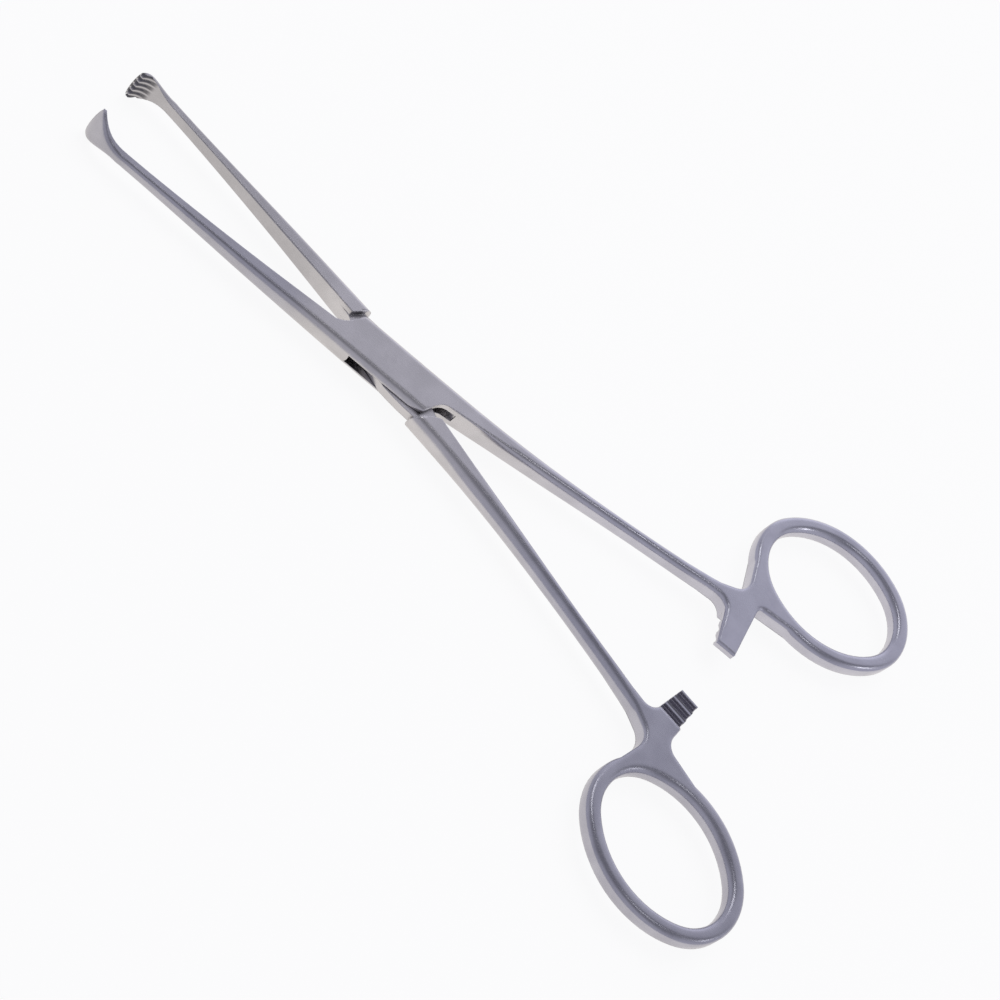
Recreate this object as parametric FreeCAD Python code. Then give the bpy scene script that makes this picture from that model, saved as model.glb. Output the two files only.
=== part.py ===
import FreeCAD, Part
import math
import os

from FreeCAD import Vector

# Allis tissue forceps lying flat, in millimetres.  X runs along the tool to the
# finger rings, Y goes across them and Z is the thickness.  Both halves are drawn
# closed, symmetric about X and Z, then swung apart by half the rest opening.
# The finished tool is raised so that the underside of the lock lies at Z = 0.

REST_OPENING = 11.1

# Lock: the tongue of the male half turns in a slot through the female half.
LOCK_HALF_THICK = 1.95
LOCK_HALF_WIDTH = 4.35
TONGUE_HALF_THICK = 0.80
SLOT_GAP = 0.05
SLOT_WALL_GAP = 0.35
PIN_RADIUS = 1.25
PIN_RUNNING_GAP = 0.03

# Handle ends: web and finger ring share one thickness.
WEB_HALF_THICK = 1.60

# Outer shape of both limbs: station, outer side, half thickness, side rounding.
OUTER = [
    (-51.0, 3.365, 0.975, 0.65),
    (-48.5, 3.38, 0.99, 0.68),
    (-37.0, 3.66, 1.22, 0.80),
    (-25.0, 4.06, 1.48, 1.00),
    (-13.0, 4.24, 1.84, 1.20),
    (-6.0, LOCK_HALF_WIDTH, LOCK_HALF_THICK, 1.30),
    (0.0, LOCK_HALF_WIDTH, LOCK_HALF_THICK, 1.32),
    (8.0, LOCK_HALF_WIDTH, LOCK_HALF_THICK, 1.36),
    (15.0, 4.42, LOCK_HALF_THICK, 1.40),
    (21.2, 4.58, 1.90, 1.40),
    (30.4, 5.15, 1.78, 1.30),
    (39.6, 6.08, 1.66, 1.20),
    (48.7, 7.20, 1.60, 1.15),
    (57.9, 8.50, 1.58, 1.00),
    (62.5, 9.25, 1.59, 0.70),
    (68.0, 10.35, WEB_HALF_THICK, 0.35),
]

# Inner side of jaw and shank: station, inner side, rounding of its edges.
JAW_INNER = [
    (-51.0, 1.795, 0.03),
    (-48.5, 1.80, 0.09),
    (-37.0, 1.66, 0.18),
    (-25.0, 1.31, 0.20),
    (-13.0, 0.83, 0.16),
    (-10.4, 0.72, 0.10),
    (-6.5, 0.60, 0.10),
]
SHANK_INNER = [
    (8.0, 0.20, 0.12),
    (12.6, 0.30, 0.12),
    (15.0, 0.62, 0.20),
    (21.2, 1.47, 0.40),
    (30.4, 2.60, 0.65),
    (39.6, 3.87, 0.80),
    (48.7, 5.16, 0.85),
    (57.9, 6.42, 0.70),
    (62.5, 7.15, 0.50),
    (68.0, 8.10, 0.30),
]
LIMB_STEP = 4.6
JAW_END = -10.4
SHANK_START = 12.6
PLATE_NOSE = [(-6.4, LOCK_HALF_WIDTH + 0.25), (-7.25, 2.6), (-8.35, 0.85), (-9.35, -0.15)]

# How far cutting shapes reach past what they cut, and how close counts as touching.
FAR = 20.0
PLATE_REACH = 3.0
TOOL_REACH = 6.0
OVERSHOOT = 1.0
TOUCH = 0.01

# Jaw tip sections: X, Y, turn toward the other jaw, depth, half width, rounding.
TIP = [
    (-51.0, 2.58, 0.0, 1.57, 0.975, 0.65),
    (-51.9, 2.575, 0.0, 1.56, 0.99, 0.66),
    (-53.0, 2.50, 4.0, 1.46, 1.13, 0.74),
    (-54.4, 2.36, 11.0, 1.34, 1.58, 0.84),
    (-55.8, 1.98, 24.0, 1.20, 2.32, 0.85),
    (-57.0, 1.25, 42.0, 1.06, 3.02, 0.70),
    (-57.75, 0.35, 58.0, 0.94, 3.30, 0.52),
    (-58.20, -0.50, 64.0, 0.86, 3.14, 0.40),
]
TIP_RIM_X = -58.05
TIP_RIM_GAP = 0.05
TOOTH_PITCH = 1.20
TOOTH_OVERLAP = 0.20
TOOTH_LAND = 0.06
TOOTH_FLANK = 1.0
TOOTH_RUN = [(TIP_RIM_X, 0.0), (-57.45, 0.0), (-56.67, 0.75), (-55.3, 1.05)]

# Finger rings: ovals of four arcs, given by the middle line of the band.  The end
# arcs have a radius that is a little less than half the short width.
RING_X = 83.5
RING_Y = 24.1
RING_LONG = 14.45
RING_SHORT = 11.55
RING_END_LESS = 1.65
RING_TILT = 8.2
RING_HALF_WIDTH = 1.36
RING_OUTER_ROUND = 0.85
RING_INNER_ROUND = 1.00

# Web between shank, ring and ratchet, flush with the ring.
WEB_BEVEL = 0.25
FEMALE_WEB_CORNER = (10.8, 1.3)
MALE_WEB_CORNER = (10.1, 2.6)

# Ratchets: the female bar lies above the middle plane, the male bar below it.
RATCHET_GAP = 0.05
RATCHET_LEFT = 69.35
RATCHET_RIGHT = 73.05
RATCHET_ROOT_Y = 5.9
RATCHET_PITCH = 2.1
RATCHET_DEPTH = 0.55
RATCHET_LAND = 0.35
RATCHET_LEAN = 0.12
RATCHET_ROOT = 0.33
RATCHET_OVERSHOOT = 0.2
RATCHET_TEETH = 3
FEMALE_RATCHET_END = -0.65
MALE_RATCHET_END = -1.33


def spline(points):
    curve = Part.BSplineCurve()
    curve.interpolate([Vector(x, y, 0) for x, y in points])
    return curve.toShape()


def chain(points):
    corners = [Vector(x, y, 0) for x, y in points]
    return [Part.makeLine(a, b) for a, b in zip(corners, corners[1:])]


def bow(a, b, c):
    return Part.Arc(Vector(*a, 0), Vector(*b, 0), Vector(*c, 0)).toShape()


def plate(edges, low, high):
    face = Part.Face(Part.Wire(edges))
    face.translate(Vector(0, 0, low))
    return face.extrude(Vector(0, 0, high - low))


def flip(shape):
    return shape.mirror(Vector(0, 0, 0), Vector(0, 1, 0))


def outer_section(x, side, half_thick, depth):
    flat = side - depth
    right = Part.Ellipse(Vector(x, flat, half_thick), Vector(x, flat + depth, 0), Vector(x, flat, 0))
    left = Part.Ellipse(Vector(x, -flat, -half_thick), Vector(x, -flat - depth, 0), Vector(x, -flat, 0))
    return Part.Wire([
        right.toShape(0, math.pi),
        Part.makeLine(Vector(x, flat, -half_thick), Vector(x, -flat, -half_thick)),
        left.toShape(0, math.pi),
        Part.makeLine(Vector(x, -flat, half_thick), Vector(x, flat, half_thick)),
    ])


def value_at(table, x):
    """Smooth value of each column of a table at station x."""
    i = 0
    while i < len(table) - 2 and table[i + 1][0] <= x:
        i += 1
    first, last = table[i], table[i + 1]
    before, after = table[max(i - 1, 0)], table[min(i + 2, len(table) - 1)]
    span = last[0] - first[0]
    t = (x - first[0]) / span
    values = []
    for a, b, lower, upper in zip(first[1:], last[1:], before[1:], after[1:]):
        slope_a = (b - lower) / (last[0] - before[0]) * span
        slope_b = (upper - a) / (after[0] - first[0]) * span
        level = a * (1 + 2 * t) * (1 - t)**2 + b * t**2 * (3 - 2 * t)
        values.append(level + slope_a * t * (1 - t)**2 - slope_b * t**2 * (1 - t))
    return values


def stations(first, last):
    count = max(1, round((last - first) / LIMB_STEP))
    return [first + (last - first) * i / count for i in range(count + 1)]


def lock_body():
    first, last = JAW_END, SHANK_START
    return Part.makeLoft([outer_section(x, *value_at(OUTER, x)) for x in stations(first, last)], True, True)


def limb_section(x, table):
    side, half, depth = value_at(OUTER, x)
    inner, corner = value_at(table, x)
    flat = side - depth
    diagonal = corner * (1 - math.sqrt(0.5))
    outside = Part.Ellipse(Vector(x, flat, half), Vector(x, side, 0), Vector(x, flat, 0))
    low = (Vector(x, inner + corner, -half), Vector(x, inner, corner - half))
    high = (Vector(x, inner, half - corner), Vector(x, inner + corner, half))
    return Part.Wire([
        outside.toShape(0, math.pi),
        Part.makeLine(Vector(x, flat, -half), low[0]),
        Part.Arc(low[0], Vector(x, inner + diagonal, diagonal - half), low[1]).toShape(),
        Part.makeLine(low[1], high[0]),
        Part.Arc(high[0], Vector(x, inner + diagonal, half - diagonal), high[1]).toShape(),
        Part.makeLine(high[1], Vector(x, flat, half)),
    ])


def limb(table, first, last):
    return Part.makeLoft([limb_section(x, table) for x in stations(first, last)], True, True)


def female_plan():
    corner = (9.0, 0.55 - LOCK_HALF_WIDTH)
    edges = chain([(JAW_END, -FAR), (0.5, -FAR), (0.5, -LOCK_HALF_WIDTH - 0.17)])
    edges.append(bow((0.5, -LOCK_HALF_WIDTH - 0.17), (5.5, 0.04 - LOCK_HALF_WIDTH), corner))
    start = (SHANK_START, value_at(SHANK_INNER, SHANK_START)[0])
    edges.append(spline([corner, (9.45, -2.9), (10.3, -1.2), (11.2, -0.2), start]))
    edges += chain([start, (SHANK_START, FAR), (PLATE_NOSE[0][0], FAR), PLATE_NOSE[0]])
    edges.append(spline(PLATE_NOSE))
    edges += chain([PLATE_NOSE[-1], (JAW_END, -value_at(JAW_INNER, JAW_END)[0]), (JAW_END, -FAR)])
    return edges


def jaw_shoulder_plan():
    inner = (-9.4, value_at(JAW_INNER, -9.4)[0] - 0.2)
    outer = (-6.95, LOCK_HALF_WIDTH + 0.25)
    return chain([inner, (-7.83, 3.06), outer, (outer[0], FAR), (4.0, FAR), (4.0, -1.0), inner])


def shank_shoulder_plan():
    corner = (8.7, LOCK_HALF_WIDTH + 0.35)
    start = (SHANK_START, value_at(SHANK_INNER, SHANK_START)[0])
    edges = [spline([corner, (9.75, 3.3), (10.9, 1.75), start])]
    return edges + chain([start, (SHANK_START, -2.0), (4.0, -2.0), (4.0, FAR), (corner[0], FAR), corner])


def tongue_plan():
    low = 0.35 - LOCK_HALF_WIDTH
    high = LOCK_HALF_WIDTH - 0.30
    edges = chain([(-11.5, 2.4), (-11.5, 0.78), (-9.4, 0.6), (-1.5, -3.1), (2.6, low)])
    edges.append(bow((2.6, low), (5.5, low + 0.08), (8.8, low + 0.45)))
    edges += chain([(8.8, low + 0.45), (12.0, -3.2), (13.4, -0.6), (1.2, high)])
    edges.append(bow((1.2, high), (-3.0, high - 0.2), (-7.4, high - 0.75)))
    edges += chain([(-7.4, high - 0.75), (-11.5, 2.4)])
    return edges


def slot_plan():
    run = Vector(4.2, -4.5, 0).normalize()
    out = Vector(run.y, -run.x, 0) * SLOT_WALL_GAP
    near = Vector(-9.4, 0.6, 0) + out - run * 3.0
    far = Vector(-5.2, 0.45 - LOCK_HALF_WIDTH, 0) + out + run * 1.5
    return chain([
        (near.x, near.y),
        (far.x, far.y),
        (far.x, -FAR),
        (14.0, -FAR),
        (14.0, 0.8),
        (12.9, 1.45),
        (5.0, LOCK_HALF_WIDTH + 0.15),
        (5.0, FAR),
        (near.x, FAR),
        (near.x, near.y),
    ])


def tip_section(x, y, turn, depth, half_width, crown):
    lean = math.radians(turn)
    out = Vector(-math.sin(lean), math.cos(lean), 0)
    up = Vector(0, 0, half_width)
    inner = Vector(x, y, 0) - out * depth / 2
    shoulder = inner + out * (depth - crown)
    back = Part.Ellipse(shoulder + up, shoulder + out * crown, shoulder)
    return Part.Wire([
        back.toShape(0, math.pi),
        Part.makeLine(shoulder - up, inner - up),
        Part.makeLine(inner - up, inner + up),
        Part.makeLine(inner + up, shoulder + up),
    ])


def tooth_gap(z):
    mouth = TOOTH_PITCH / 2 - TOOTH_LAND
    apex = mouth / TOOTH_FLANK - TOOTH_OVERLAP
    wide = mouth + TOOTH_FLANK * OVERSHOOT
    low = -TOOTH_OVERLAP - OVERSHOOT
    start = Vector(0, low, z - wide)
    corners = [start, Vector(0, apex, z), Vector(0, low, z + wide), start]
    runs = []
    for (x, y), (next_x, next_y) in zip(TOOTH_RUN, TOOTH_RUN[1:]):
        face = Part.Face(Part.makePolygon([Vector(x, y, 0) + c for c in corners]))
        runs.append(face.extrude(Vector(next_x - x, next_y - y, 0)))
    return runs


def jaw_tip(gap_rows):
    tip = Part.makeLoft([tip_section(*row) for row in TIP], True)
    reach = TOOL_REACH
    below = Part.makeBox(2 * reach, reach, 2 * reach, Vector(TIP_RIM_X, -reach - TOOTH_OVERLAP, -reach))
    before = Part.makeBox(reach, reach, 2 * reach, Vector(TIP_RIM_X - reach, TIP_RIM_GAP - reach, -reach))
    tip = tip.cut([below, before])
    for row in gap_rows:
        for tool in tooth_gap(row * TOOTH_PITCH):
            tip = tip.cut(tool)
    return tip


def oval(grow):
    end_radius = RING_SHORT - RING_END_LESS
    away = RING_LONG - end_radius
    side_radius = (away**2 + RING_SHORT**2 - end_radius**2) / (2 * RING_END_LESS)
    drop = side_radius - RING_SHORT
    slant = math.atan2(drop, away)
    end_radius = end_radius + grow
    side_radius = side_radius + grow

    def on(x, y, radius, angle):
        return (x + radius * math.cos(angle), y + radius * math.sin(angle))

    right = [on(away, 0, end_radius, -slant), on(away, 0, end_radius, 0), on(away, 0, end_radius, slant)]
    top = [right[2], on(0, -drop, side_radius, math.pi / 2), on(-away, 0, end_radius, math.pi - slant)]
    left = [top[2], on(-away, 0, end_radius, math.pi), on(-away, 0, end_radius, math.pi + slant)]
    bottom = [left[2], on(0, drop, side_radius, -math.pi / 2), right[0]]
    return [bow(*arc) for arc in (right, top, left, bottom)]


def ring_plate(grow, half_thick):
    shape = plate(oval(grow), -half_thick, half_thick)
    shape.rotate(Vector(0, 0, 0), Vector(0, 0, 1), RING_TILT)
    shape.translate(Vector(RING_X, RING_Y, 0))
    return shape


def level_edges(shape, height):
    def is_level(box):
        return abs(box.ZMin - height) < TOUCH and abs(box.ZMax - height) < TOUCH

    return [e for e in shape.Edges if is_level(e.BoundBox)]


def round_rims(shape, radius, region):
    """Round the upper and lower rims that lie in region, each by three narrow facets."""
    bevel = radius * (2 - math.sqrt(2))
    sliver = radius * (math.tan(math.pi / 8) - math.tan(math.pi / 16))
    for height in (WEB_HALF_THICK, -WEB_HALF_THICK):
        rims = [e for e in level_edges(shape, height) if e.distToShape(region)[0] < TOUCH]
        shape = shape.makeChamfer(bevel, rims)
    for side in (1, -1):
        edges = level_edges(shape, side * WEB_HALF_THICK)
        edges += level_edges(shape, side * (WEB_HALF_THICK - bevel))
        shape = shape.makeChamfer(sliver, [e for e in edges if e.distToShape(region)[0] < TOUCH])
    return shape


def finger_ring():
    whole = ring_plate(RING_HALF_WIDTH, 2 * WEB_HALF_THICK)
    within = ring_plate(0, 2 * WEB_HALF_THICK)
    hole = ring_plate(-RING_HALF_WIDTH, 2 * WEB_HALF_THICK)
    disc = round_rims(ring_plate(RING_HALF_WIDTH, WEB_HALF_THICK), RING_OUTER_ROUND, whole)
    return round_rims(disc.cut(hole), RING_INNER_ROUND, within)


def rounded(points):
    corners = [Vector(x, y, 0) for x, y, radius in points]
    edges = []
    ends = []
    for i, (x, y, radius) in enumerate(points):
        back = (corners[i - 1] - corners[i]).normalize()
        ahead = (corners[(i + 1) % len(corners)] - corners[i]).normalize()
        half_angle = back.getAngle(ahead) / 2
        reach = radius / math.tan(half_angle)
        middle = corners[i] + (back + ahead).normalize() * (radius / math.sin(half_angle) - radius)
        ends.append((corners[i] + back * reach, middle, corners[i] + ahead * reach, radius))
    for i, (first, middle, last, radius) in enumerate(ends):
        if radius > 0:
            edges.append(Part.Arc(first, middle, last).toShape())
        edges.append(Part.makeLine(last, ends[(i + 1) % len(ends)][0]))
    return edges


def beside_ring(along, across):
    """A point given in shares of the ring's half length and half width from its middle."""
    return (RING_X + along * RING_LONG, RING_Y + across * RING_SHORT)


def web_plan(end, corner_y, corner_radius):
    return rounded([
        (60.5, 8.05, 0),
        (60.5, 7.1, 0),
        (67.9, 7.7, 2.4),
        (RATCHET_LEFT, end, 0),
        (RATCHET_RIGHT, end, 0),
        (RATCHET_RIGHT, corner_y, corner_radius),
        (*beside_ring(-0.10, -1.07), 0),
        (*beside_ring(0.03, -0.79), 0),
        (*beside_ring(-0.10, 0.0), 0),
        (*beside_ring(-0.87, 0.08), 0),
        (*beside_ring(-1.06, -0.18), 0),
        (*beside_ring(-0.91, -1.06), 3.3),
        (64.3, 9.15, 12.0),
    ])


def ratchet_cut(end, i):
    crest = end + RATCHET_LAND + i * RATCHET_PITCH
    ramp_end = crest + RATCHET_PITCH - RATCHET_LAND
    x = RATCHET_LEFT - TOOL_REACH
    low = RATCHET_GAP - RATCHET_OVERSHOOT
    root = RATCHET_GAP + RATCHET_DEPTH
    face = Part.Face(Part.makePolygon([
        Vector(x, crest, low),
        Vector(x, crest + RATCHET_LEAN, root),
        Vector(x, crest + RATCHET_LEAN + RATCHET_ROOT, root),
        Vector(x, ramp_end, low),
        Vector(x, crest, low),
    ]))
    return face.extrude(Vector(2 * TOOL_REACH, 0, 0))


def web_and_ratchet(end, corner):
    body = plate(web_plan(end, *corner), -WEB_HALF_THICK, WEB_HALF_THICK)
    rims = level_edges(body, WEB_HALF_THICK) + level_edges(body, -WEB_HALF_THICK)
    body = body.makeChamfer(WEB_BEVEL, rims)
    body = body.cut(ring_plate(0, 2 * WEB_HALF_THICK))
    reach = TOOL_REACH
    under = Vector(RATCHET_LEFT - reach, end - reach, RATCHET_GAP - reach)
    body = body.cut(Part.makeBox(2 * reach, RATCHET_ROOT_Y - end + reach, reach, under))
    for i in range(RATCHET_TEETH):
        body = body.cut(ratchet_cut(end, i))
    return body


def handle_end(end, corner):
    return web_and_ratchet(end, corner).fuse(finger_ring())


def upside_down(shape):
    turned = shape.copy()
    turned.rotate(Vector(0, 0, 0), Vector(1, 0, 0), 180)
    return turned


def female_half():
    lock = lock_body().common(plate(female_plan(), -PLATE_REACH, PLATE_REACH))
    jaw = flip(limb(JAW_INNER, OUTER[0][0], JAW_END))
    shank = limb(SHANK_INNER, SHANK_START, OUTER[-1][0])
    body = lock.fuse(jaw).fuse(shank)
    slot_half = TONGUE_HALF_THICK + SLOT_GAP
    body = body.cut(plate(slot_plan(), -slot_half, slot_half))
    body = body.cut(Part.makeCylinder(PIN_RADIUS, 2 * PLATE_REACH, Vector(0, 0, -PLATE_REACH)))
    body = body.fuse(flip(jaw_tip([-2, -1, 0, 1, 2])))
    return body.fuse(handle_end(FEMALE_RATCHET_END, FEMALE_WEB_CORNER)).removeSplitter()


def male_half():
    jaw = limb(JAW_INNER, OUTER[0][0], JAW_INNER[-1][0])
    jaw = jaw.cut(plate(jaw_shoulder_plan(), -PLATE_REACH, PLATE_REACH))
    shank = limb(SHANK_INNER, SHANK_INNER[0][0], OUTER[-1][0])
    shank = flip(shank.cut(plate(shank_shoulder_plan(), -PLATE_REACH, PLATE_REACH)))
    tongue = plate(tongue_plan(), -TONGUE_HALF_THICK, TONGUE_HALF_THICK)
    bore_radius = PIN_RADIUS + PIN_RUNNING_GAP
    tongue = tongue.cut(Part.makeCylinder(bore_radius, 2 * PLATE_REACH, Vector(0, 0, -PLATE_REACH)))
    tip = jaw_tip([-2.5, -1.5, -0.5, 0.5, 1.5, 2.5])
    handle = upside_down(handle_end(MALE_RATCHET_END, MALE_WEB_CORNER))
    return tongue.fuse(jaw.fuse(tip)).fuse(shank.fuse(handle)).removeSplitter()


def lock_pin():
    return Part.makeCylinder(PIN_RADIUS, 2 * LOCK_HALF_THICK, Vector(0, 0, -LOCK_HALF_THICK))


def place(shape, turn):
    moved = shape.copy()
    moved.rotate(Vector(0, 0, 0), Vector(0, 0, 1), turn)
    moved.translate(Vector(0, 0, LOCK_HALF_THICK))
    return moved


pieces = {
    "female_half": place(female_half(), REST_OPENING / 2),
    "male_half": place(male_half(), -REST_OPENING / 2),
    "lock_pin": place(lock_pin(), REST_OPENING / 2),
}

os.makedirs("parts", exist_ok=True)
for name, shape in pieces.items():
    if shape.ShapeType == "Compound" and len(shape.Solids) == 1:
        shape = shape.Solids[0]
    print(name, shape.ShapeType, len(shape.Solids), shape.isValid(), round(shape.Volume, 1))
    shape.exportStep("parts/" + name + ".step")
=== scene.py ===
import math

import bpy
from mathutils import Matrix, Vector


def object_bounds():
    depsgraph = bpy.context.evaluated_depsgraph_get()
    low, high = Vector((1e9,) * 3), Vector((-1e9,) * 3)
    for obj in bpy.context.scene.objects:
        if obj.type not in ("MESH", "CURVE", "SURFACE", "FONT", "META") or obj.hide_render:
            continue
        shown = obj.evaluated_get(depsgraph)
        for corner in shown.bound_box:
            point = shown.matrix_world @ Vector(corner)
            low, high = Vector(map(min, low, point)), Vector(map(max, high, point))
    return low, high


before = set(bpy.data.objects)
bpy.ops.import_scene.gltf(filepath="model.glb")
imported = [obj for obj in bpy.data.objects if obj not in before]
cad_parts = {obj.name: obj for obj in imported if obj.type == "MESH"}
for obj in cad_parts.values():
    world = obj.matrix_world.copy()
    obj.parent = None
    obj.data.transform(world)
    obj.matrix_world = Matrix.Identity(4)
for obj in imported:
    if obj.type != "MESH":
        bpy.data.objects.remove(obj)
cad_low, cad_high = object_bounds()

scene = bpy.context.scene
scene.view_settings.view_transform = "Standard"
MM = 0.001

# Camera of the reference view, in the frame of the part.
CAMERA_PLACE = Vector((-28.8805, -336.5525, 370.6826)) * MM
CAMERA_RIGHT = Vector((0.71263726, 0.46274745, 0.52726933))
CAMERA_UP = Vector((-0.69235403, 0.58510462, 0.42225405))
CAMERA_BACK = Vector((-0.11311073, -0.66597101, 0.73735241))
CAMERA_LENS = 115.4004
SENSOR = 36.0
NEAREST = 0.01
FARTHEST = 20.0

# Each limb lies this many degrees off the long axis of the forceps.
LIMB_TURN = 5.55
MID_HEIGHT = 1.95 * MM

# Rows of teeth on the jaw tips, and the side that they face, in degrees from the limb.
TIP_PITCH = 1.2 * MM
TOOTH_SIDE = 60.0

# Teeth of the ratchet bars, and the outer crest of the one that looks up or down.
RATCHET_PITCH = 2.1 * MM
FIRST_CREST_UP = -0.98 * MM
FIRST_CREST_DOWN = -0.30 * MM

# Whole pitches that keep the count of teeth above nought.
SPARE_PITCHES = 10.0

# Patterns in the steel: repeats per metre, and how they are drawn out along the limb.
CLOUD_SCALE = 210.0
WIDE_SCALE = 90.0
GRAIN_SCALE = 9000.0
SPECK_SCALE = 5200.0
EVEN = (1.0, 1.0, 1.0)
WIDE_STRETCH = (0.35, 1.0, 1.0)
GRAIN_STRETCH = (0.09, 1.0, 1.0)

# Colours of the steel.
JAW_PALE = (0.630, 0.615, 0.632, 1.0)
JAW_DARK = (0.560, 0.548, 0.562, 1.0)
HANDLE_PALE = (0.560, 0.560, 0.640, 1.0)
HANDLE_DARK = (0.485, 0.484, 0.560, 1.0)
GRAIN_TONE = (0.68, 0.67, 0.70, 1.0)
# Painted highlight on sharp edges.
EDGE_HIGHLIGHT_TONE = (0.80, 0.79, 0.80, 1.0)
# Painted shade in deep hollows.
HOLLOW_SHADE_TONE = (0.018, 0.018, 0.022, 1.0)
# Painted shade in the grooves between the teeth of the tip.
GROOVE_SHADE_TONE = (0.15, 0.147, 0.16, 1.0)
# Painted shade on the slopes and flat backs of the ratchet teeth.
SLOPE_SHADE_TONE = (0.38, 0.37, 0.42, 1.0)
BACK_SHADE_TONE = (0.14, 0.137, 0.155, 1.0)

# Floor and room, each as it lights the object and as the camera sees it.
CLOTH_TONE = (0.92, 0.92, 0.92, 1.0)
FLOOR_LIGHT = (1.0, 0.965, 0.925, 1.0)
FLOOR_SEEN = (0.995, 0.995, 1.0, 1.0)
ROOM_LIGHT = (0.89, 0.885, 1.0, 1.0)
ROOM_SEEN = (0.985, 0.985, 1.0, 1.0)
FLOOR_GLOW = 0.92
FLOOR_REACH = 4.0
FLOOR_GAP = 0.02 * MM

# Radiance of the studio: overhead, behind the object, at its ends and low in front,
# and what the far end of the back adds.
DIM_LEVEL = 0.28
BACK_LEVEL = 0.68
END_LEVEL = 0.62
LOW_LEVEL = 0.58
FAR_BACK_EXTRA = 0.35


def add_camera():
    data = bpy.data.cameras.new("camera")
    data.lens = CAMERA_LENS
    data.sensor_width = SENSOR
    data.sensor_fit = "HORIZONTAL"
    data.clip_start = NEAREST
    data.clip_end = FARTHEST
    camera = bpy.data.objects.new("camera", data)
    turn = Matrix((CAMERA_RIGHT, CAMERA_UP, CAMERA_BACK)).transposed()
    camera.matrix_world = Matrix.Translation(CAMERA_PLACE) @ turn.to_4x4()
    scene.collection.objects.link(camera)
    scene.camera = camera


class Nodes:
    """Short calls for building a node tree."""

    def __init__(self, tree):
        self.tree = tree

    def add(self, kind, **values):
        node = self.tree.nodes.new(kind)
        for name, value in values.items():
            setattr(node, name, value)
        return node

    def link(self, source, target):
        self.tree.links.new(source, target)

    def feed(self, target, value):
        if isinstance(value, bpy.types.NodeSocket):
            self.link(value, target)
        else:
            target.default_value = value

    def math(self, operation, first, second=0.0):
        node = self.add("ShaderNodeMath", operation=operation)
        self.feed(node.inputs[0], first)
        self.feed(node.inputs[1], second)
        return node.outputs[0]

    def product(self, first, *others):
        for other in others:
            first = self.math("MULTIPLY", first, other)
        return first

    def vector(self, operation, first, second=None):
        node = self.add("ShaderNodeVectorMath", operation=operation)
        self.link(first, node.inputs[0])
        if second is not None:
            self.feed(node.inputs[1], second)
        is_number = operation in ("DOT_PRODUCT", "LENGTH")
        return node.outputs["Value" if is_number else "Vector"]

    def split(self, vector):
        node = self.add("ShaderNodeSeparateXYZ")
        self.link(vector, node.inputs[0])
        return node.outputs["X"], node.outputs["Y"], node.outputs["Z"]

    def ramp(self, value, low, high, to_low=0.0, to_high=1.0):
        node = self.add("ShaderNodeMapRange", interpolation_type="SMOOTHSTEP")
        self.feed(node.inputs["Value"], value)
        node.inputs["From Min"].default_value = low
        node.inputs["From Max"].default_value = high
        node.inputs["To Min"].default_value = to_low
        node.inputs["To Max"].default_value = to_high
        return node.outputs["Result"]

    def fall(self, value, low, high):
        return self.ramp(value, low, high, 1.0, 0.0)

    def mix(self, factor, first, second, blend="MIX"):
        node = self.add("ShaderNodeMix", data_type="RGBA", blend_type=blend)
        self.feed(node.inputs[0], factor)
        self.feed(node.inputs[6], first)
        self.feed(node.inputs[7], second)
        return node.outputs[2]

    def gray(self, value):
        node = self.add("ShaderNodeCombineColor")
        for socket in node.inputs:
            self.link(value, socket)
        return node.outputs[0]

    def noise(self, place, stretch, scale, detail, rough=0.5, turn=(0.0, 0.0, 0.0)):
        mapping = self.add("ShaderNodeMapping")
        self.link(place, mapping.inputs["Vector"])
        mapping.inputs["Rotation"].default_value = turn
        mapping.inputs["Scale"].default_value = stretch
        node = self.add("ShaderNodeTexNoise")
        self.link(mapping.outputs[0], node.inputs["Vector"])
        node.inputs["Scale"].default_value = scale
        node.inputs["Detail"].default_value = detail
        node.inputs["Roughness"].default_value = rough
        return node.outputs["Fac"]

    def bump(self, height, normal, strength, distance):
        node = self.add("ShaderNodeBump")
        node.inputs["Strength"].default_value = strength
        node.inputs["Distance"].default_value = distance
        self.link(height, node.inputs["Height"])
        self.link(normal, node.inputs["Normal"])
        return node.outputs[0]


def blank_material(name):
    """A material without a surface, its nodes, and where the surface goes in."""
    material = bpy.data.materials.new(name)
    material.use_nodes = True
    material.node_tree.nodes.clear()
    n = Nodes(material.node_tree)
    out = n.add("ShaderNodeOutputMaterial")
    return material, n, out.inputs["Surface"]


def direction(turn):
    return (math.cos(math.radians(turn)), math.sin(math.radians(turn)), 0.0)


def grooves(n, height, along, shift):
    """Mask of painted shade, 1 in the grooves between the teeth of the jaw tip and 0 on their
    crests.
    """
    above = n.math("SUBTRACT", height, MID_HEIGHT)
    rows = n.math("ADD", n.math("DIVIDE", above, TIP_PITCH), shift + 0.5 + SPARE_PITCHES)
    away = n.math("ABSOLUTE", n.math("SUBTRACT", n.math("FRACT", rows), 0.5))
    return n.product(n.fall(away, 0.24, 0.46), n.fall(along, -56.0 * MM, -55.0 * MM))


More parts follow.
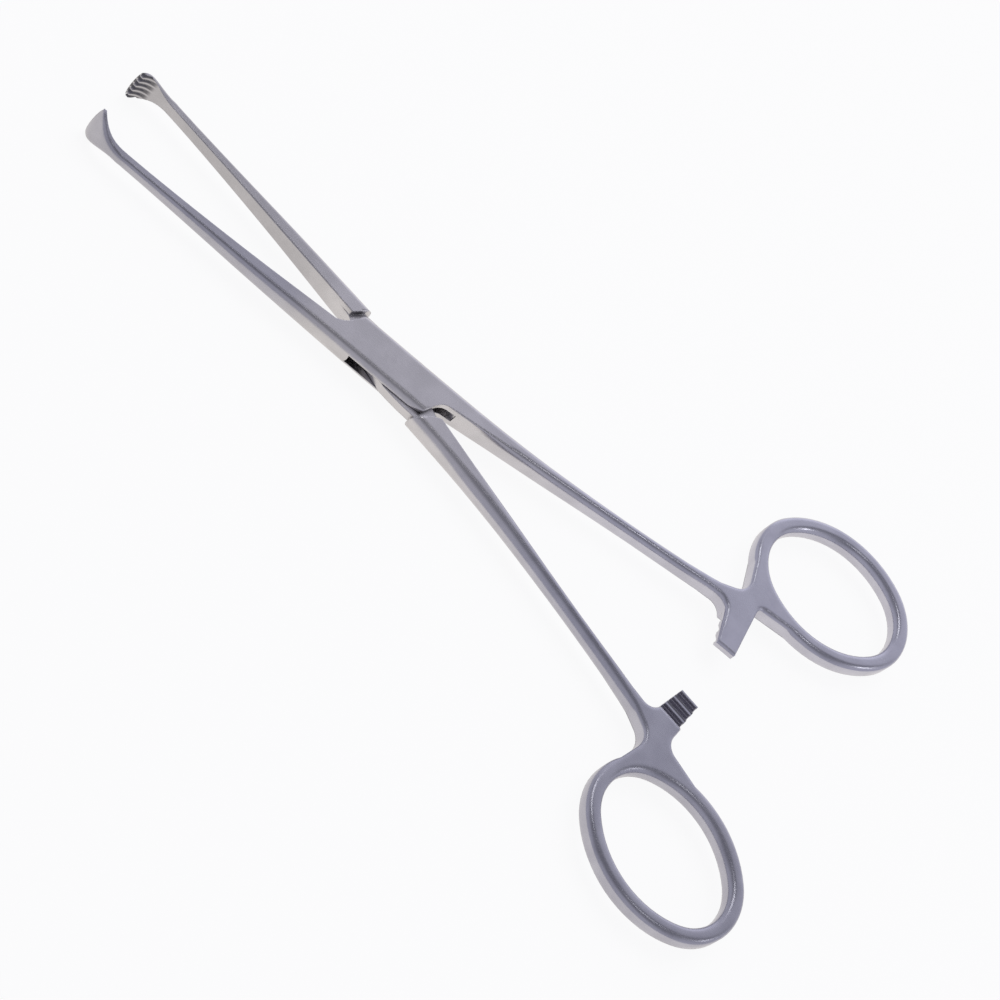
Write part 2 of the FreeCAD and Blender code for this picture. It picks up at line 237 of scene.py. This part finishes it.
def ratchet_shade(n, height, look, along, across, up, first):
    """Two masks of painted shade on the ratchet: the slopes of its teeth, and their flat backs
    up to the crests.

    look is how far the steel faces up, up is 1 or -1 as the teeth look up or down, and
    first the place of the outer crest.
    """
    below = n.product(n.math("SUBTRACT", height, MID_HEIGHT), -up)
    inside = n.math("SUBTRACT", n.product(across, -up), first)
    steps = n.math("ADD", n.math("DIVIDE", inside, RATCHET_PITCH), SPARE_PITCHES)
    behind = n.fall(n.math("FRACT", steps), 0.78, 0.86)
    slope_shade = n.product(n.ramp(below, 0.06 * MM, 0.10 * MM), n.fall(below, 0.62 * MM, 0.70 * MM))
    back = n.product(n.ramp(below, 0.02 * MM, 0.04 * MM), n.fall(below, 0.06 * MM, 0.10 * MM))
    near = n.product(
        n.ramp(along, 68.5 * MM, 69.0 * MM),
        n.fall(n.math("ABSOLUTE", across), 6.2 * MM, 6.6 * MM),
        n.ramp(n.product(look, up), 0.08, 0.16),
    )
    return n.product(slope_shade, near), n.product(back, behind, near)


def handle_mask(n, height, along, across, ratchet):
    """1 on the shank, the web and the ring, 0 on the jaw, the lock and the ratchet bar."""
    bar = n.product(
        n.ramp(along, 65.5 * MM, 67.5 * MM),
        n.fall(n.math("ABSOLUTE", across), 5.5 * MM, 7.0 * MM),
    )
    if ratchet < 0.0:
        bar = n.product(bar, n.fall(height, 2.6 * MM, 3.0 * MM))
    return n.product(n.ramp(along, 14.0 * MM, 24.0 * MM), n.math("SUBTRACT", 1.0, bar))


def round_edges(n, place, height, across, handle):
    """Normals with edges that are rounded finely at the lock and amply on the handles."""
    from_pin = n.vector("LENGTH", n.vector("MULTIPLY", place, (1.0, 1.0, 0.0)))
    fine = n.ramp(from_pin, 1.3 * MM, 2.2 * MM, 0.01 * MM, 0.20 * MM)
    top = n.ramp(height, 3.1 * MM, 3.6 * MM, 0.0, 0.6 * MM)
    ample = n.math("MAXIMUM", n.product(handle, 0.90 * MM), top)
    outer = n.ramp(n.math("ABSOLUTE", across), 2.2 * MM, 2.6 * MM)
    edge = n.add("ShaderNodeBevel", samples=24)
    n.link(n.math("ADD", fine, n.product(ample, outer)), edge.inputs["Radius"])
    return edge.outputs[0]


def barrel_sides(n, normal, height, handle):
    """Normals with the sides of the handles ground a little barrel shaped."""
    upright = n.math("SUBTRACT", 1.0, n.math("ABSOLUTE", n.split(normal)[2]))
    lean = n.product(n.ramp(height, 1.3 * MM, 3.8 * MM, 0.0, 0.6), handle)
    lift = n.add("ShaderNodeCombineXYZ")
    n.link(n.product(lean, upright), lift.inputs["Z"])
    return n.vector("NORMALIZE", n.vector("ADD", normal, lift.outputs[0]))


def bare_tone(n, along, cloud, grain, jaw_blue, handle_tone):
    """Colour of the steel, a little bluer on the handles, as polished webs and rings are."""
    blue_jaw = n.ramp(along, -22.0 * MM, -12.0 * MM, jaw_blue, 0.0)
    blue = n.math("MAXIMUM", n.ramp(along, 8.0 * MM, 50.0 * MM), blue_jaw)
    pale = n.mix(blue, JAW_PALE, HANDLE_PALE)
    dark = n.mix(blue, JAW_DARK, HANDLE_DARK)
    tone = n.mix(n.ramp(cloud, 0.3, 0.7), dark, pale)
    jaw_shade = n.ramp(along, -21.0 * MM, -11.0 * MM, 0.80, 1.0)
    handle_shade = n.ramp(along, 12.0 * MM, 50.0 * MM, 1.0, handle_tone)
    shade = n.math("MINIMUM", jaw_shade, handle_shade)
    tone = n.mix(1.0, tone, n.gray(shade), "MULTIPLY")
    return n.mix(n.product(n.ramp(grain, 0.3, 0.75), 0.20), tone, GRAIN_TONE)


def shade_teeth(n, tone, flat, height, along, across, turn, inward, ratchet):
    """Paints shade into the grooves of the tip and the hollows of the ratchet."""
    own = n.add(
        "ShaderNodeVectorTransform",
        vector_type="NORMAL",
        convert_from="WORLD",
        convert_to="OBJECT",
    )
    n.link(flat, own.inputs[0])
    own_flat = own.outputs[0]
    facing = n.vector("DOT_PRODUCT", own_flat, direction(turn + inward))
    shift = 0.0 if inward > 0.0 else 0.5
    groove_shade = n.product(grooves(n, height, along, shift), n.ramp(facing, 0.10, 0.30))
    # Painted shade in the grooves of the tip.
    tone = n.mix(groove_shade, tone, GROOVE_SHADE_TONE)
    first = FIRST_CREST_UP if ratchet > 0.0 else FIRST_CREST_DOWN
    look = n.split(own_flat)[2]
    slope_shade, back = ratchet_shade(n, height, look, along, across, ratchet, first)
    # Painted shade on the ratchet teeth.
    tone = n.mix(slope_shade, tone, SLOPE_SHADE_TONE)
    return n.mix(back, tone, BACK_SHADE_TONE)


def steel(name, turn, inward=0.0, ratchet=1.0, jaw_blue=0.0, handle_tone=1.0):
    """Satin hand-finished steel.

    turn is the direction of the limb in degrees and inward the side that its toothed
    tip faces.  ratchet is 1 where the ratchet looks up and -1 where it looks down.
    jaw_blue is a small difference in tint between the halves, and handle_tone how far the
    handle of a half is darkened.
    """
    material, n, surface = blank_material(name)
    shader = n.add("ShaderNodeBsdfPrincipled")
    n.link(shader.outputs[0], surface)
    place = n.add("ShaderNodeTexCoord").outputs["Object"]
    flat = n.add("ShaderNodeNewGeometry").outputs["Normal"]
    height = n.split(place)[2]
    along = n.vector("DOT_PRODUCT", place, direction(turn))
    across = n.vector("DOT_PRODUCT", place, direction(turn + 90.0))

    limb = (0.0, 0.0, math.radians(-turn))
    cloud = n.noise(place, EVEN, CLOUD_SCALE, detail=4.0, rough=0.55)
    wide = n.noise(place, WIDE_STRETCH, WIDE_SCALE, detail=2.0, turn=limb)
    grain = n.noise(place, GRAIN_STRETCH, GRAIN_SCALE, detail=2.0, rough=0.6, turn=limb)
    speck = n.noise(place, EVEN, SPECK_SCALE, detail=3.0, rough=0.65)

    handle = handle_mask(n, height, along, across, ratchet)
    edge = round_edges(n, place, height, across, handle)
    rounded = barrel_sides(n, edge, height, handle)

    # Edges of the jaw and the lock get a painted highlight, paler, and deep hollows get painted
    # shade, dark.
    tone = bare_tone(n, along, cloud, grain, jaw_blue, handle_tone)
    sharp = n.fall(n.vector("DOT_PRODUCT", flat, edge), 0.80, 0.95)
    painted_edge_highlight = n.product(sharp, n.math("SUBTRACT", 1.0, handle))
    tone = n.mix(n.product(painted_edge_highlight, 0.45), tone, EDGE_HIGHLIGHT_TONE)
    # Painted shade: ambient occlusion darkens the colour in deep hollows nearly to black.
    hollow_shade = n.add("ShaderNodeAmbientOcclusion", samples=32)
    hollow_shade.inputs["Distance"].default_value = 2.2 * MM
    tone = n.mix(n.ramp(hollow_shade.outputs["AO"], 0.14, 0.56), HOLLOW_SHADE_TONE, tone)
    if inward:
        tone = shade_teeth(n, tone, flat, height, along, across, turn, inward, ratchet)
    n.link(tone, shader.inputs["Base Color"])

    satin = n.ramp(grain, 0.25, 0.75, -0.04, 0.06)
    rough = n.math("ADD", satin, n.ramp(wide, 0.3, 0.7, 0.25, 0.33))
    rough = n.math("SUBTRACT", rough, n.product(handle, 0.07))
    n.link(rough, shader.inputs["Roughness"])
    shader.inputs["Metallic"].default_value = 1.0
    shader.inputs["Anisotropic"].default_value = 0.35

    soft = n.bump(wide, rounded, 0.16, 0.6 * MM)
    relief = n.math("ADD", n.product(grain, 0.8), n.product(speck, 0.5))
    relief = n.product(relief, n.ramp(handle, 0.0, 1.0, 1.0, 0.35))
    n.link(n.bump(relief, soft, 0.14, 0.03 * MM), shader.inputs["Normal"])
    return material


def dress(node, material):
    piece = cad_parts[node]
    for slot in piece.material_slots:
        slot.material = material
    if not piece.material_slots:
        piece.data.materials.append(material)


def add_floor(level):
    mesh = bpy.data.meshes.new("floor")
    sides = ((-1, -1), (1, -1), (1, 1), (-1, 1))
    corners = [(x * FLOOR_REACH, y * FLOOR_REACH, level) for x, y in sides]
    mesh.from_pydata(corners, [], [(0, 1, 2, 3)])
    floor = bpy.data.objects.new("floor", mesh)
    scene.collection.objects.link(floor)
    material, n, surface = blank_material("floor")
    cloth = n.add("ShaderNodeBsdfDiffuse")
    cloth.inputs["Color"].default_value = CLOTH_TONE
    path = n.add("ShaderNodeLightPath")
    by_camera = path.outputs["Is Camera Ray"]
    glow = n.add("ShaderNodeEmission")
    n.link(n.mix(by_camera, FLOOR_LIGHT, FLOOR_SEEN), glow.inputs["Color"])
    glow.inputs["Strength"].default_value = 1.0
    seen = n.math("MAXIMUM", by_camera, path.outputs["Is Glossy Ray"])
    blend = n.add("ShaderNodeMixShader")
    n.link(n.product(seen, FLOOR_GLOW), blend.inputs[0])
    n.link(cloth.outputs[0], blend.inputs[1])
    n.link(glow.outputs[0], blend.inputs[2])
    n.link(blend.outputs[0], surface)
    mesh.materials.append(material)


def add_lamp(name, place, aim, size, power, glossy=True):
    data = bpy.data.lights.new(name, "AREA")
    data.shape = "RECTANGLE"
    data.size, data.size_y = size
    data.energy = power
    lamp = bpy.data.objects.new(name, data)
    lamp.location = place
    beam = Vector(aim) - Vector(place)
    lamp.rotation_euler = beam.to_track_quat("-Z", "Y").to_euler()
    lamp.visible_glossy = glossy
    scene.collection.objects.link(lamp)


def light_world():
    """A dim ceiling with a grey back and paler ends, as in a light tent."""
    world = bpy.data.worlds.new("world")
    scene.world = world
    world.use_nodes = True
    back = world.node_tree.nodes["Background"]
    n = Nodes(world.node_tree)
    x, y, _ = n.split(n.add("ShaderNodeTexCoord").outputs["Generated"])
    behind = n.ramp(y, 0.42, 0.66, DIM_LEVEL, BACK_LEVEL)
    ends = n.ramp(n.math("ABSOLUTE", x), 0.45, 0.9, DIM_LEVEL, END_LEVEL)
    low = n.ramp(n.product(y, -1.0), 0.30, 0.80, DIM_LEVEL, LOW_LEVEL)
    behind = n.math("ADD", behind, n.ramp(y, 0.78, 0.95, 0.0, FAR_BACK_EXTRA))
    level = n.math("MAXIMUM", n.math("MAXIMUM", behind, ends), low)
    seen = n.add("ShaderNodeLightPath").outputs["Is Camera Ray"]
    n.link(n.mix(seen, ROOM_LIGHT, ROOM_SEEN), back.inputs["Color"])
    lit = n.product(level, n.math("SUBTRACT", 1.0, seen))
    n.link(n.math("ADD", lit, seen), back.inputs["Strength"])


add_camera()
dress(
    "female_half",
    steel("satin_steel_slotted", LIMB_TURN, TOOTH_SIDE, ratchet=-1.0, jaw_blue=0.8),
)
dress(
    "male_half",
    steel("satin_steel_tongue", -LIMB_TURN, -TOOTH_SIDE, jaw_blue=0.1, handle_tone=0.86),
)
dress("lock_pin", steel("satin_steel_pin", LIMB_TURN))
add_floor(cad_low.z - FLOOR_GAP)
light_world()
add_lamp("right", place=(0.98, 0.18, 0.76), aim=(0.07, 0.0, 0.0), size=(0.16, 0.16), power=0.22)
add_lamp("top", place=(0.40, 0.12, 1.15), aim=(0.08, 0.0, 0.0), size=(0.12, 0.12), power=0.12)
add_lamp("left", place=(-0.34, 0.46, 1.02), aim=(0.07, 0.0, 0.0), size=(0.16, 0.50), power=0.55)
add_lamp(
    "above",
    place=(0.15, 0.55, 1.10),
    aim=(0.02, 0.0, 0.0),
    size=(0.9, 0.9),
    power=5.0,
    glossy=False,
)
